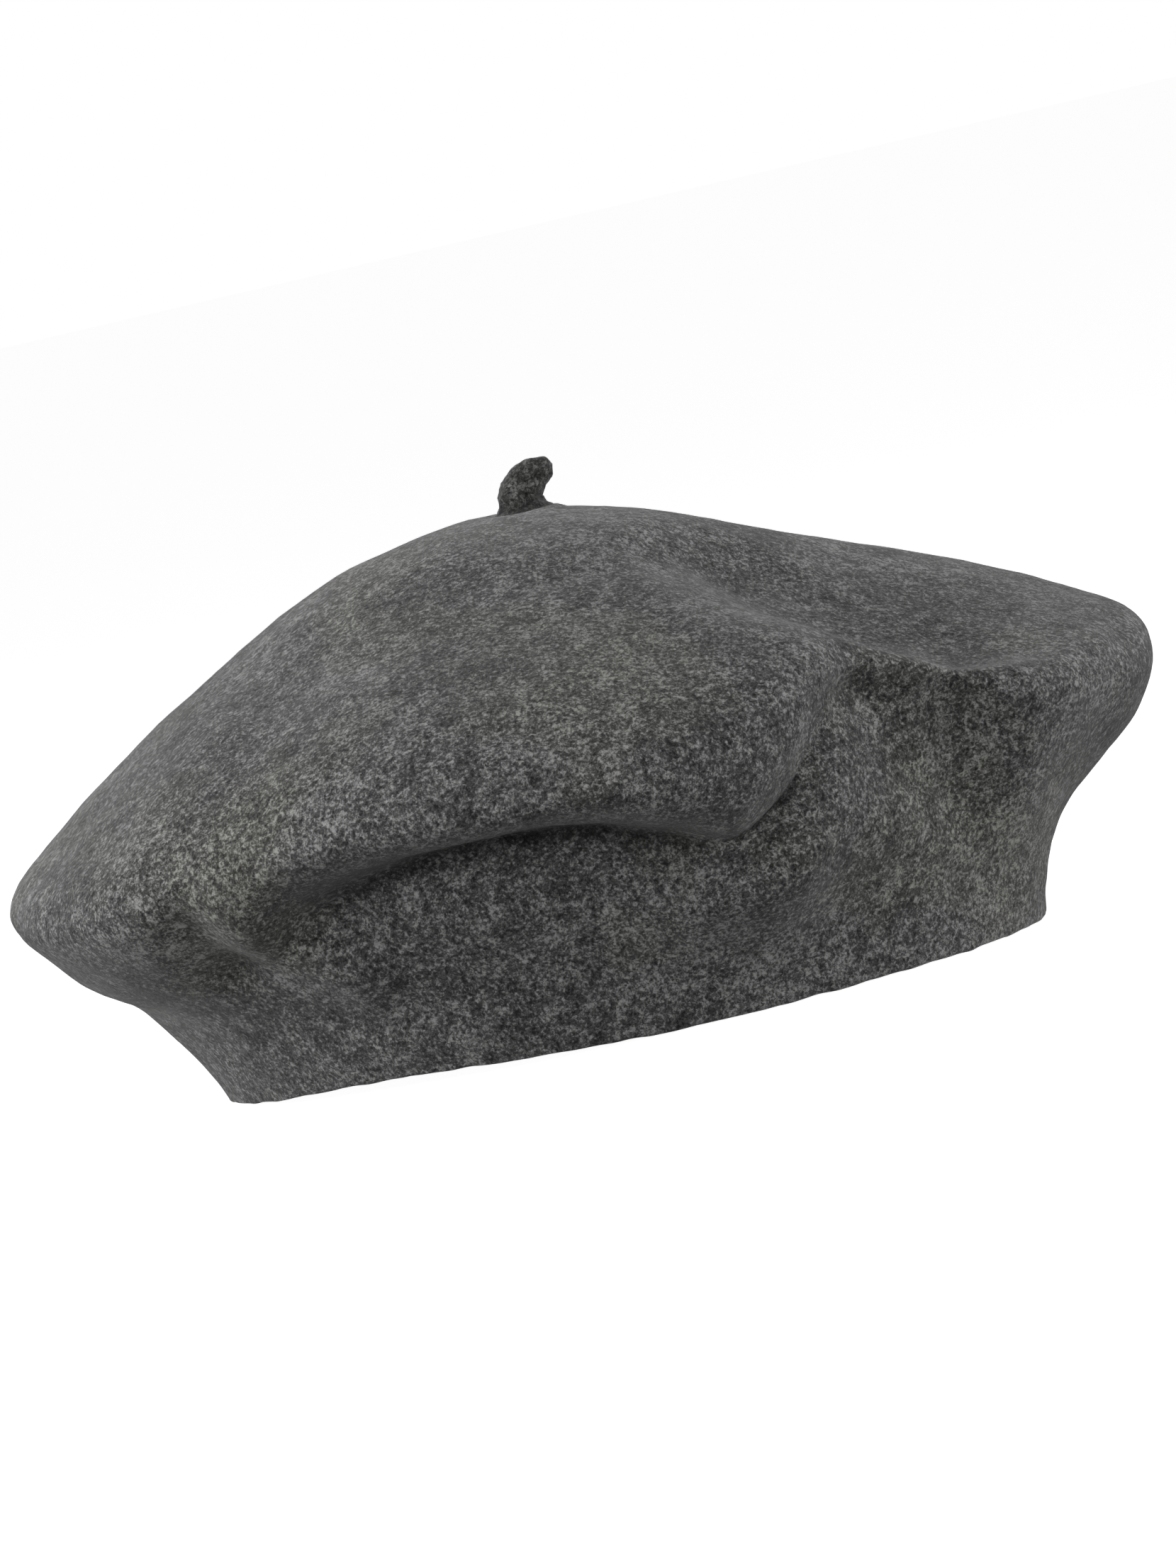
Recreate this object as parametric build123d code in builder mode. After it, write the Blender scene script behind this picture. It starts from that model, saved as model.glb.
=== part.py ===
"""A felt beret with a stem, a leather sweatband and a satin lining.

The hat stands on the fold of its hem. +Z is up, +X points to the wearer's forehead and +Y to the wearer's
left. The origin is the middle of the head opening, on the surface that the hem rests on. Millimetres.
"""

import math
import os

from build123d import *

os.makedirs("parts", exist_ok=True)

# Driving dimensions
OPENING_HALF_LENGTH = 102.0  # outside of the hem, along X
OPENING_HALF_WIDTH = 86.0
RIM_HALF_LENGTH = 142.5  # the widest line of the bag, an 11.2 inch plateau
RIM_HALF_WIDTH = 137.0
RIM_HEIGHT = 57.0
CROWN_HEIGHT = 124.0  # the flat seat under the stem
FELT = 2.2
HEM_HEIGHT = 16.0  # how far the turned-in edge reaches up inside
LEATHER = 1.0
BAND_HEIGHT = 30.0
BAND_FOOT = 1.0  # the leather stops this far above the fold
SATIN = 0.5
THREAD = 0.35  # radius
FIT_GAP = 0.2  # between neighbours that lie against each other

# Level sections of the felt's outside. On the underside a section is a share of the rim's height and a
# share of the way out from the opening to the rim, on the top a share of the rise and of the rim's size.
UNDERSIDE = [
    (0.0, 0.0),
    (0.18, 0.05),
    (0.35, 0.14),
    (0.51, 0.33),
    (0.65, 0.62),
    (0.81, 0.88),
    (0.92, 0.972),
    (1.0, 1.0),
]
TOP = [
    (0.06, 0.996),
    (0.155, 0.972),
    (0.295, 0.885),
    (0.465, 0.744),
    (0.643, 0.560),
    (0.798, 0.400),
    (0.915, 0.253),
    (0.980, 0.125),
    (1.0, 0.060),
]


def felt_sections():
    """(height, half-length, half-width) of the felt's outside, from the fold of the hem to the stem's seat."""
    sections = []
    for height, out in UNDERSIDE:
        half_length = OPENING_HALF_LENGTH + out * (RIM_HALF_LENGTH - OPENING_HALF_LENGTH)
        half_width = OPENING_HALF_WIDTH + out * (RIM_HALF_WIDTH - OPENING_HALF_WIDTH)
        sections.append((height * RIM_HEIGHT, half_length, half_width))
    for rise, size in TOP:
        height = RIM_HEIGHT + rise * (CROWN_HEIGHT - RIM_HEIGHT)
        sections.append((height, size * RIM_HALF_LENGTH, size * RIM_HALF_WIDTH))
    return sections


def inset(distance):
    """The same sections moved inwards, square to the felt's outside."""
    outside = felt_sections()
    top = len(outside) - 1
    moved = []
    for i, (height, half_length, half_width) in enumerate(outside):
        below, above = outside[max(i - 1, 0)], outside[min(i + 1, top)]
        rise = 0.0 if i == top else above[0] - below[0]
        run = (above[1] + above[2] - below[1] - below[2]) / 2
        share = distance / math.hypot(rise, run)
        moved.append((height + share * run, half_length - share * rise, half_width - share * rise))
    return moved


def between(sections, low, high):
    """The stretch of the sections from height low to height high, with a section made at each end."""

    def at(height):
        for under, over in zip(sections, sections[1:]):
            if under[0] <= height <= over[0]:
                share = (height - under[0]) / (over[0] - under[0])
                return tuple(u + share * (o - u) for u, o in zip(under, over))
        return sections[-1]

    inner = [section for section in sections if low + 0.5 < section[0] < high - 0.5]
    return [at(low), *inner] if inner[-1] == sections[-1] else [at(low), *inner, at(high)]


def to_floor(sections):
    """The sections with the lowest one taken down past the floor, so that a cavity opens there."""
    return [(-1.0, *sections[0][1:]), *sections[1:]]


def ellipses(sections):
    """One ellipse for each section, to loft through."""
    drawn = []
    for height, half_length, half_width in sections:
        with BuildSketch(Plane.XY.offset(height)) as level:
            Ellipse(half_length, half_width)
        drawn.append(level.sketch)
    return drawn


def write(piece, name):
    piece.part.label = name
    export_step(piece.part, f"parts/{name}.step")


# Felt: one seamless body, its edge turned in and doubled at the hem
FOLD_RADIUS = 1.2
felt_outside = felt_sections()
hem_inside = inset(2 * FELT)
bag_inside = inset(FELT)
with BuildPart() as felt_crown:
    loft(ellipses(between(felt_outside, 0.0, RIM_HEIGHT)))
    loft(ellipses(between(felt_outside, RIM_HEIGHT, CROWN_HEIGHT)))
    loft(ellipses(to_floor(between(hem_inside, hem_inside[0][0], HEM_HEIGHT))), mode=Mode.SUBTRACT)
    loft(ellipses(between(bag_inside, HEM_HEIGHT, RIM_HEIGHT)), mode=Mode.SUBTRACT)
    loft(ellipses(between(bag_inside, RIM_HEIGHT, CROWN_HEIGHT)), mode=Mode.SUBTRACT)
    fold = felt_crown.faces().filter_by(GeomType.PLANE).sort_by(Axis.Z)[0]
    fillet(fold.edges(), FOLD_RADIUS)
write(felt_crown, "felt_crown")

# Stem: a felted tail that leans forwards, with a round root that turns in place
STEM_ROOT_RADIUS = 4.8
STEM_TIP_RADIUS = 3.8
STEM_BEND_RADIUS = 10.4
STEM_LEAN_START = 45.0  # degrees from upright, at the root
STEM_LEAN_END = 81.0
STEM_GAP = 0.3
stem_pivot = Vector(0, 0, CROWN_HEIGHT + STEM_GAP + STEM_ROOT_RADIUS)


def stem_point(lean):
    """The point of the stem's centre line where it leans by that many degrees."""
    start, now = math.radians(STEM_LEAN_START), math.radians(lean)
    forward = STEM_BEND_RADIUS * (math.cos(start) - math.cos(now))
    up = STEM_BEND_RADIUS * (math.sin(now) - math.sin(start))
    return stem_pivot + Vector(forward, 0, up)


def stem_plane(lean):
    angle = math.radians(lean)
    return Plane(stem_point(lean), x_dir=(0, 1, 0), z_dir=(math.sin(angle), 0, math.cos(angle)))


with BuildPart() as stem:
    rings = []
    for share in (0.0, 0.5, 1.0):
        with BuildSketch(stem_plane(STEM_LEAN_START + share * (STEM_LEAN_END - STEM_LEAN_START))) as ring:
            Circle(STEM_ROOT_RADIUS + share * (STEM_TIP_RADIUS - STEM_ROOT_RADIUS))
        rings.append(ring.sketch)
    loft(rings)
    with Locations(stem_pivot):
        Sphere(STEM_ROOT_RADIUS)
    with Locations(stem_point(STEM_LEAN_END)):
        Sphere(STEM_TIP_RADIUS)
write(stem, "stem")

# Stem knot: the tail's ends, drawn through the crown and felted flat against its inside
KNOT_RADIUS = 7.0
KNOT_THICKNESS = 2.0
with BuildPart() as stem_knot:
    with BuildSketch(Plane.XY.offset(CROWN_HEIGHT - FELT - KNOT_THICKNESS)):
        Circle(KNOT_RADIUS)
    extrude(amount=KNOT_THICKNESS)
    fillet(stem_knot.edges().filter_by(GeomType.CIRCLE).sort_by(Axis.Z)[0], 0.8 * KNOT_THICKNESS)
write(stem_knot, "stem_knot")

# Sweatband: a leather strip round the inside of the hem, cut through at the back where its ends meet
BAND_SLIT = 0.4
band_half_length = hem_inside[0][1] - FIT_GAP
band_half_width = hem_inside[0][2] - FIT_GAP
band_inside_length = band_half_length - LEATHER
band_inside_width = band_half_width - LEATHER
with BuildPart() as sweatband:
    with BuildSketch(Plane.XY.offset(BAND_FOOT)):
        Ellipse(band_half_length, band_half_width)
        Ellipse(band_inside_length, band_inside_width, mode=Mode.SUBTRACT)
        with Locations((-band_half_length, 0)):
            Rectangle(4 * LEATHER, BAND_SLIT, mode=Mode.SUBTRACT)
    extrude(amount=BAND_HEIGHT)
write(sweatband, "sweatband")

# Bow: a flat ribbon bow sewn over the joint of the sweatband, two loops held by a knot
RIBBON_WIDTH = 7.0
RIBBON = 0.6
BOW_LOOP_LENGTH = 15.0
BOW_LOOP_DEPTH = 4.0
BOW_KNOT_WIDTH = 5.0
bow_height = BAND_FOOT + BAND_HEIGHT / 2
bow_end = BOW_LOOP_LENGTH + BOW_KNOT_WIDTH / 2
bow_back = FIT_GAP - band_inside_length * math.sqrt(1 - (bow_end / band_inside_width) ** 2)
bow_middle = bow_back + BOW_LOOP_DEPTH / 2
with BuildPart() as bow_loops:
    with BuildSketch(Plane.XY.offset(bow_height - RIBBON_WIDTH / 2)):
        for side in (-1, 1):
            with Locations((bow_middle, side * (BOW_KNOT_WIDTH + BOW_LOOP_LENGTH) / 2)):
                SlotOverall(BOW_LOOP_LENGTH, BOW_LOOP_DEPTH, rotation=90)
                inside = (BOW_LOOP_LENGTH - 2 * RIBBON, BOW_LOOP_DEPTH - 2 * RIBBON)
                SlotOverall(*inside, rotation=90, mode=Mode.SUBTRACT)
    extrude(amount=RIBBON_WIDTH)
write(bow_loops, "bow_loops")

with BuildPart() as bow_knot:
    with BuildSketch(Plane.XY.offset(bow_height - RIBBON_WIDTH / 2 - RIBBON)):
        with Locations((bow_middle, 0)):
            RectangleRounded(BOW_LOOP_DEPTH, BOW_KNOT_WIDTH, 1.2)
    extrude(amount=RIBBON_WIDTH + 2 * RIBBON)
write(bow_knot, "bow_knot")

# Lining: satin inside the bag, a round top panel joined at the rim to a side panel that runs to the hem
LINING_FOOT = 9.0
LINING_GAP = 0.5  # the satin hangs a little clear of the felt
lining_outside = inset(2 * FELT + LINING_GAP)
lining_inside = inset(2 * FELT + LINING_GAP + SATIN)

with BuildPart() as lining_side:
    loft(ellipses(between(lining_outside, LINING_FOOT, RIM_HEIGHT)))
    loft(ellipses(between(lining_inside, LINING_FOOT, RIM_HEIGHT)), mode=Mode.SUBTRACT)
write(lining_side, "lining_side")

with BuildPart() as lining_top:
    loft(ellipses(between(lining_outside, RIM_HEIGHT, CROWN_HEIGHT)))
    loft(ellipses(between(lining_inside, RIM_HEIGHT, CROWN_HEIGHT)), mode=Mode.SUBTRACT)
write(lining_top, "lining_top")

# Care label: blank woven tape on the left of the sweatband, sewn down along its top margin, and free to swing
# about the fold just under the stitches
LABEL_WIDTH = 26.0
LABEL_DROP = 18.0  # below the fold
LABEL_MARGIN = 3.0  # above it
LABEL_THICKNESS = 0.5
LABEL_FOLD = 0.2  # height of the fold, left clear
LABEL_PIVOT_AHEAD = 0.9  # the fold's axis lies in front of the tape, so that the flap clears the stitches
label_top = BAND_FOOT + BAND_HEIGHT - 3.0
label_seam = label_top - LABEL_MARGIN / 2
fold_height = label_top - LABEL_MARGIN - LABEL_FOLD / 2
label_chord = band_inside_width * math.sqrt(1 - (LABEL_WIDTH / 2 / band_inside_length) ** 2)
label_front = label_chord - FIT_GAP - LABEL_THICKNESS
label_middle = label_front + LABEL_THICKNESS / 2
with BuildPart() as label_margin:
    with Locations((0, label_middle, label_top)):
        Box(LABEL_WIDTH, LABEL_THICKNESS, LABEL_MARGIN, align=(Align.CENTER, Align.CENTER, Align.MAX))
write(label_margin, "label_margin")

with BuildPart() as label_flap:
    with Locations((0, label_middle, fold_height - LABEL_FOLD / 2)):
        Box(LABEL_WIDTH, LABEL_THICKNESS, LABEL_DROP, align=(Align.CENTER, Align.CENTER, Align.MAX))
    fillet(label_flap.edges().filter_by(Axis.Y).group_by(Axis.Z)[0], 1.0)
write(label_flap, "label_flap")

# Stitches: short threads in rows, each a round bar that lies along its row
STITCH_CLEAR = THREAD + 0.06  # from the middle of a thread to the surface it lies on
BAND_STITCHES = 120
BAND_STITCH_LENGTH = 3.4
LINING_STITCHES = 90
LINING_STITCH_LENGTH = 4.0
LABEL_STITCHES = 8
LABEL_STITCH_LENGTH = 2.2
SEAM_RISE = 3.0  # from the edge of the strip to its row


def along(path, count):
    """The middle of each of count equal stretches of the path."""
    return [path.location_at((i + 0.5) / count) for i in range(count)]


def ring_seam(height, half_length, half_width):
    """The row of a seam that runs round the inside of an elliptical wall."""
    level = Plane.XY.offset(height)
    return Edge.make_ellipse(half_length - STITCH_CLEAR, half_width - STITCH_CLEAR, plane=level)


with BuildPart() as sweatband_stitches:
    seam = ring_seam(BAND_FOOT + SEAM_RISE, band_inside_length, band_inside_width)
    with Locations(*along(seam, BAND_STITCHES)):
        Cylinder(THREAD, BAND_STITCH_LENGTH)
write(sweatband_stitches, "sweatband_stitches")

with BuildPart() as lining_stitches:
    seam = ring_seam(*between(lining_inside, LINING_FOOT + SEAM_RISE, RIM_HEIGHT)[0])
    with Locations(*along(seam, LINING_STITCHES)):
        Cylinder(THREAD, LINING_STITCH_LENGTH)
write(lining_stitches, "lining_stitches")

with BuildPart() as label_stitches:
    row_end = LABEL_WIDTH / 2 - 1.0
    row_depth = label_front - STITCH_CLEAR
    seam = Edge.make_line((-row_end, row_depth, label_seam), (row_end, row_depth, label_seam))
    with Locations(*along(seam, LABEL_STITCHES)):
        Cylinder(THREAD, LABEL_STITCH_LENGTH)
write(label_stitches, "label_stitches")

print("inside of the sweatband", band_inside_length, band_inside_width)
print("stem pivot", stem_pivot, "tip", stem_point(STEM_LEAN_END))
print("label pivot", (0, label_front - LABEL_PIVOT_AHEAD, fold_height))
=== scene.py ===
"""A heather-grey felt beret: felt bag, felted stem, leather sweatband, satin lining, ribbon bow and label."""

import math

import bmesh
import bpy
import numpy as np
from mathutils import Matrix, Vector, noise


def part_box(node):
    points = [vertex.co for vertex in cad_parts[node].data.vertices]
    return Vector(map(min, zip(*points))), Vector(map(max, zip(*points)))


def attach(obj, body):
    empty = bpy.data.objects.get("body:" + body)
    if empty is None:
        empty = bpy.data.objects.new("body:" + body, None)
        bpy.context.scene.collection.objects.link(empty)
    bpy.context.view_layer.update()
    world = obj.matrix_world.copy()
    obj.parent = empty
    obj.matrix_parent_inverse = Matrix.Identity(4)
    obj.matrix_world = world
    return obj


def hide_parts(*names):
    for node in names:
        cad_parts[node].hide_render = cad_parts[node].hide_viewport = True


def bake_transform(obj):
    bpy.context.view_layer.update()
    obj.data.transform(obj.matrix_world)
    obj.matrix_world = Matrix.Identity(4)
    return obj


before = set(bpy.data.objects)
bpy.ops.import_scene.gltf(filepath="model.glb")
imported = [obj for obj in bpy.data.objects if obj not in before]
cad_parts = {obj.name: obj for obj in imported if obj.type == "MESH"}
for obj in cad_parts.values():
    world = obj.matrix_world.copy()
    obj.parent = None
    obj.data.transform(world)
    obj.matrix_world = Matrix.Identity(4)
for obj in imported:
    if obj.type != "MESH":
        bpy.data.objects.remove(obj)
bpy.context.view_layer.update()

MM = 0.001
SAME_POINT = 0.002 * MM  # points nearer to each other than this are joined
scene = bpy.context.scene
scene.view_settings.view_transform = "Standard"


# ---------------------------------------------------------------- helpers
def cad_box_mm(node):
    """The lowest and highest corner of a CAD node, in mm."""
    return (np.array(corner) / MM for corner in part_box(node))


def new_object(name, verts, faces, mat=None, body="crown", slot=None, replaces=(), crease=None):
    """A smooth mesh piece from points in mm. Points that coincide are joined, as at the poles."""
    mesh = bpy.data.meshes.new(name)
    mesh.from_pydata([tuple(v) for v in np.asarray(verts) * MM], [], [tuple(f) for f in faces])
    # crease, where given, is painted shade: how much the felt's colour is darkened at each point.
    if crease is not None:
        mesh.attributes.new("crease", "FLOAT", "POINT").data.foreach_set("value", crease.ravel())
    bm = bmesh.new()
    bm.from_mesh(mesh)
    bmesh.ops.remove_doubles(bm, verts=bm.verts, dist=SAME_POINT)
    bmesh.ops.recalc_face_normals(bm, faces=bm.faces)
    bm.to_mesh(mesh)
    bm.free()
    obj = bpy.data.objects.new(name, mesh)
    scene.collection.objects.link(obj)
    mesh.polygons.foreach_set("use_smooth", [True] * len(mesh.polygons))
    if mat:
        mesh.materials.append(mat)
    if replaces:
        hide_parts(*replaces)
    if body:
        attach(obj, body)
    return obj


def sheet_faces(rows, columns, close_rows=False, close_columns=False):
    """Quads over a rows by columns array of points. A closed direction joins its last line to its first."""
    r = np.arange(rows if close_rows else rows - 1)
    c = np.arange(columns if close_columns else columns - 1)
    r, c = np.meshgrid(r, c, indexing="ij")
    r2, c2 = (r + 1) % rows, (c + 1) % columns
    quads = np.stack([r * columns + c, r2 * columns + c, r2 * columns + c2, r * columns + c2], -1)
    return quads.reshape(-1, 4).tolist()


def hermite(keys, values, x, period=None):
    """Smooth curve through values at keys (rising), read at each x. With a period, the curve closes on itself."""
    keys, values = np.asarray(keys, float), np.asarray(values, float)
    if period is not None:
        keys = np.concatenate([keys[-2:] - period, keys, keys[:2] + period])
        values = np.concatenate([values[-2:], values, values[:2]])
        x = keys[2] + np.mod(np.asarray(x, float) - keys[2], period)
    gap = np.diff(keys)
    shape = (-1,) + (1,) * (values.ndim - 1)
    secant = np.diff(values, axis=0) / gap.reshape(shape)
    slope = np.empty_like(values)
    slope[0], slope[-1] = secant[0], secant[-1]
    before, after = gap[:-1].reshape(shape), gap[1:].reshape(shape)
    slope[1:-1] = (secant[:-1] * after + secant[1:] * before) / (before + after)
    i = np.clip(np.searchsorted(keys, x, side="right") - 1, 0, len(gap) - 1)
    t = ((x - keys[i]) / gap[i]).reshape((-1,) + (1,) * (values.ndim - 1))
    h = gap[i].reshape(t.shape)
    return (
        (1 + 2 * t) * (1 - t) ** 2 * values[i]
        + t * (1 - t) ** 2 * h * slope[i]
        + t * t * (3 - 2 * t) * values[i + 1]
        + t * t * (t - 1) * h * slope[i + 1]
    )


# ---------------------------------------------------------------- camera
CAMERA_DISTANCE = 2.5
CAMERA_ELEVATION = math.radians(4.0)
CAMERA_ROLL = math.radians(13.05)
AIM = Vector((0.0003, 0, 0.0558))
VIEW_HEIGHT = 0.3798  # how much the picture takes in, top to bottom, at the beret's middle
SENSOR = 36.0
cam_data = bpy.data.cameras.new("camera")
cam = bpy.data.objects.new("camera", cam_data)
scene.collection.objects.link(cam)
scene.camera = cam
towards_viewer = Vector((0, -math.cos(CAMERA_ELEVATION), math.sin(CAMERA_ELEVATION)))
upright = Vector((0, math.sin(CAMERA_ELEVATION), math.cos(CAMERA_ELEVATION)))
forward = Vector((1, 0, 0))
right = forward * math.cos(CAMERA_ROLL) - upright * math.sin(CAMERA_ROLL)
up = forward * math.sin(CAMERA_ROLL) + upright * math.cos(CAMERA_ROLL)
aimed = Matrix((right, up, towards_viewer)).transposed().to_4x4()
cam.matrix_world = Matrix.Translation(AIM + towards_viewer * CAMERA_DISTANCE) @ aimed
cam_data.sensor_fit = "VERTICAL"
cam_data.sensor_height = SENSOR
cam_data.lens = SENSOR * CAMERA_DISTANCE / VIEW_HEIGHT
cam_data.clip_end = 50

# ---------------------------------------------------------------- the felt bag
# Outlines at some azimuths, in degrees: 0 is the forehead and -90 the side that faces the viewer. Each is ten
# (radius, height) pairs in mm: wall, flare, crease, lip and rim, then brow, shoulder, slope, upper slope and top.
OUTLINES = {
    -150: [
        (104, 18), (111, 27), (121, 34), (133, 42.5), (140, 52),
        (138, 61), (128, 71), (104, 88), (78, 102), (57, 113),
    ],
    -138: [
        (99, 18), (106, 29), (112, 38), (125, 44), (133, 52),
        (133, 62), (122, 75), (101, 89), (76, 102), (57, 112),
    ],
    -126: [
        (95, 18), (104, 35), (106, 48.5), (121, 53.5), (127, 59.5),
        (125, 69.5), (114, 81.5), (97, 92), (75, 102), (57, 111),
    ],
    -104: [
        (91, 20), (100, 41), (95, 54.5), (118, 57), (124, 61.5),
        (122, 71), (111, 82), (92, 93), (70, 103), (57, 109),
    ],
    -90: [
        (90, 18), (99, 38), (94, 51.5), (117, 55.5), (124, 60),
        (122, 69), (110, 80.5), (91, 92), (69, 102.5), (56, 108.5),
    ],
    -80: [
        (92, 18), (103, 30), (95, 45.5), (115, 50), (122, 55.5),
        (122, 66), (110, 79), (90, 91), (68, 102), (55, 108),
    ],
    -73: [
        (95, 18), (106, 28), (99, 42), (111, 46.5), (118, 54),
        (119, 67), (108, 79), (88, 91), (67, 102), (54.5, 107.5),
    ],
    -66: [
        (96, 18), (109, 31), (103, 49), (108, 54), (114, 61),
        (115, 72), (105, 82), (86, 93), (67, 102), (54, 107),
    ],
    -58: [
        (94, 18), (107, 37), (104, 60), (106, 66), (109, 73),
        (107, 80), (98, 86.5), (81, 93), (64, 100.5), (52, 105.5),
    ],
    -50: [
        (95, 18), (105, 36), (101, 58), (101, 70), (104, 75),
        (100, 81), (89, 86), (74, 91), (60, 98.5), (50, 104.5),
    ],
    -42: [
        (97, 18), (104, 34), (105, 48), (106, 61), (110, 70),
        (106, 74), (97, 76), (82, 81), (65, 91), (52, 100),
    ],
    -30: [
        (100, 18), (107, 29), (114, 41), (120, 51), (124, 58),
        (122, 63.5), (112, 66.5), (92, 74), (72, 86), (54, 99),
    ],
    -14: [
        (105, 18), (110, 26), (119, 35), (129, 44), (136, 55),
        (134, 63), (123, 69), (100, 77), (75, 89.5), (56, 103),
    ],
    6: [
        (107, 18), (113, 26), (124, 34), (136, 44), (142, 57),
        (140, 66), (129, 73.5), (105, 85), (77, 96.5), (57, 105.5),
    ],
    40: [
        (101, 18), (108, 27), (120, 35), (133, 46), (140, 58),
        (138, 65), (126, 74.5), (104, 86.5), (77, 99), (57, 107.5),
    ],
    90: [
        (91, 18), (98, 27), (112, 35), (128, 44), (136, 57),
        (134, 65), (122, 75), (101, 87), (76, 101), (57, 110),
    ],
    140: [
        (102, 18), (110, 27), (121, 34), (133, 44), (140, 56),
        (138, 63), (128, 74), (106, 87), (80, 102), (57, 113),
    ],
    180: [
        (111, 18), (118, 28), (129, 36), (136, 45), (143, 55),
        (141, 61), (132, 69.5), (107, 87.5), (82, 102), (57, 115),
    ],
}
# Softer folds on the side that faces the viewer: a line from (x, height) to (x, height), how wide the fold
# is, and how far it stands out, or lies back where that is below zero. All mm.
FOLDS = [
    ((-86, 45), (-61, 30), 6.5, 3.3),
    ((-100, 48), (-91, 38), 6.5, -3.6),
    ((-72, 47), (-60, 44), 6.0, -0.8),
    ((32, 36), (62, 58), 8.5, 3.0),
    ((86, 36), (88, 62), 8.0, -3.0),
    ((98, 12), (106, 56), 8.0, 2.0),
    ((121, 41), (134, 64), 4.5, -1.2),
    ((-84, 92), (-116, 57), 9.0, 1.4),
    ((-64, 92), (-96, 58), 9.0, -1.2),
]
FOLDS_FADE = 20.0  # the folds grow from nothing to full over this distance from the hat's middle plane
HEM_X, HEM_Y = 102.0, 86.0
HEM_LIFT, HEM_LIFT_AZIMUTH, HEM_LIFT_WIDTH = 2.2, -130.0, 28.0
FELT = 2.2
HEM_DEPTH = 4.3  # the felt is doubled there
HEM_FOLD_RISE = 1.6  # how far the fold's rounding reaches up the outside
HEM_FOLD_ROWS = 7
HEM_EDGE = ((4.3, -0.5), (4.0, 0.0), (3.3, 0.25), (2.7, 0.1))  # depth and rise of the turned-in edge's rounding
# The middle of the crown: radius, height at the forehead side, height at the back
TOP_POINTS = [(38, 114.0, 121.0), (20, 120.5, 124.0), (8.5, 123.2, 124.6), (0, 124.2, 124.2)]
APEX_ROWS = 3  # the last rows, which stay round and level
AROUND = 480
STEPS = [5, 7, 6, 8, 8, 7, 7, 7, 8, 8, 7, 6, 6, 4, 2]  # mesh rows between each two points of an outline
HEM_EDGE_ROW = 11  # where the turned-in edge ends, inside
# Unevenness of the felt, as height, size and seed
BROAD_LUMPS, FINE_LUMPS, HEM_LUMPS = (0.45, 13.0, 3.1), (0.16, 4.2, 9.7), (0.35, 7.0, 5.5)
HEM_LUMP_ROWS = 3
# The crease depth found with these sets the painted shade in the felt's colour.
CREASE_SMOOTHING = 320  # how often the surface is averaged to find what lies under it
CREASE_LEAST, CREASE_RANGE = 0.5, 7.0


def hem_radius(azimuth):
    return 1 / np.hypot(np.cos(azimuth) / HEM_X, np.sin(azimuth) / HEM_Y)


def hem_lift(azimuth):
    """The hem doesn't quite touch the floor near the back corner on the viewer's side."""
    return HEM_LIFT * np.exp(-(((np.degrees(azimuth) - HEM_LIFT_AZIMUTH) / HEM_LIFT_WIDTH) ** 2))


def outlines(azimuth):
    """(azimuths, points, 2) array of radius and height along the outline at each azimuth."""
    keys = sorted(OUTLINES)
    table = np.array([OUTLINES[k] for k in keys], float)
    middle = hermite(keys, table, np.degrees(azimuth), period=360.0)
    hem = hem_radius(azimuth)
    forward = (1 + np.cos(azimuth)) / 2
    lift = hem_lift(azimuth)
    foot = [(hem - 0.2, HEM_FOLD_RISE + lift), (hem + 3.0 - 2.0 * forward, 9.0 + 0.5 * lift)]
    top = [(np.full_like(hem, r), back + (front - back) * forward) for r, front, back in TOP_POINTS]
    foot, top = ([np.stack(pair, 1)[:, None] for pair in end] for end in (foot, top))
    return np.concatenate([*foot, middle, *top], 1)


def crown_grid():
    """The outside of the bag as points: azimuth by azimuth, each from the hem up to the apex."""
    azimuth = np.linspace(-math.pi, math.pi, AROUND, endpoint=False)
    points = outlines(azimuth)
    rows = []
    for p in points:
        chord = np.hypot(*np.diff(p, axis=0).T)
        keys = np.concatenate([[0], np.cumsum(chord**0.5)])
        stops = [np.linspace(keys[i], keys[i + 1], n, endpoint=False) for i, n in enumerate(STEPS)]
        rows.append(hermite(keys, p, np.concatenate([*stops, [keys[-1]]])))
    grid = np.array(rows)  # azimuth, row, (r, z)
    r, z = grid[..., 0], grid[..., 1]
    return np.stack([r * np.cos(azimuth)[:, None], r * np.sin(azimuth)[:, None], z], -1)


def relax(grid, times, held=2):
    """Averages neighbours, with the lowest rows and the apex held."""
    for _ in range(times):
        around = (np.roll(grid, 1, 0) + np.roll(grid, -1, 0)) / 2
        along = grid.copy()
        along[:, 1:-1] = (grid[:, :-2] + grid[:, 2:]) / 2
        mixed = 0.5 * grid + 0.25 * around + 0.25 * along
        mixed[:, :held] = grid[:, :held]
        mixed[:, -APEX_ROWS:] = grid[:, -APEX_ROWS:]
        grid = mixed
    return grid


def normals(grid):
    """Unit vectors that point out of a grid of points round the hat."""
    around = np.roll(grid, -1, 0) - np.roll(grid, 1, 0)
    along = np.gradient(grid, axis=1)
    normal = np.cross(around, along)
    length = np.linalg.norm(normal, axis=-1, keepdims=True)
    normal = normal / np.maximum(length, 1e-9)
    normal[:, -1] = (0, 0, 1)
    return normal


def fold_height(grid):
    """How far the soft folds move each point out."""
    x, y, z = np.moveaxis(grid, -1, 0)
    height = np.zeros_like(x)
    for (x0, z0), (x1, z1), width, stands in FOLDS:
        run, rise = x1 - x0, z1 - z0
        along = np.clip(((x - x0) * run + (z - z0) * rise) / (run**2 + rise**2), 0, 1)
        away = np.hypot(x - x0 - along * run, z - z0 - along * rise)
        height += stands * np.exp(-((away / width) ** 2))
    return height * np.clip(-y / FOLDS_FADE, 0, 1)


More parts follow.
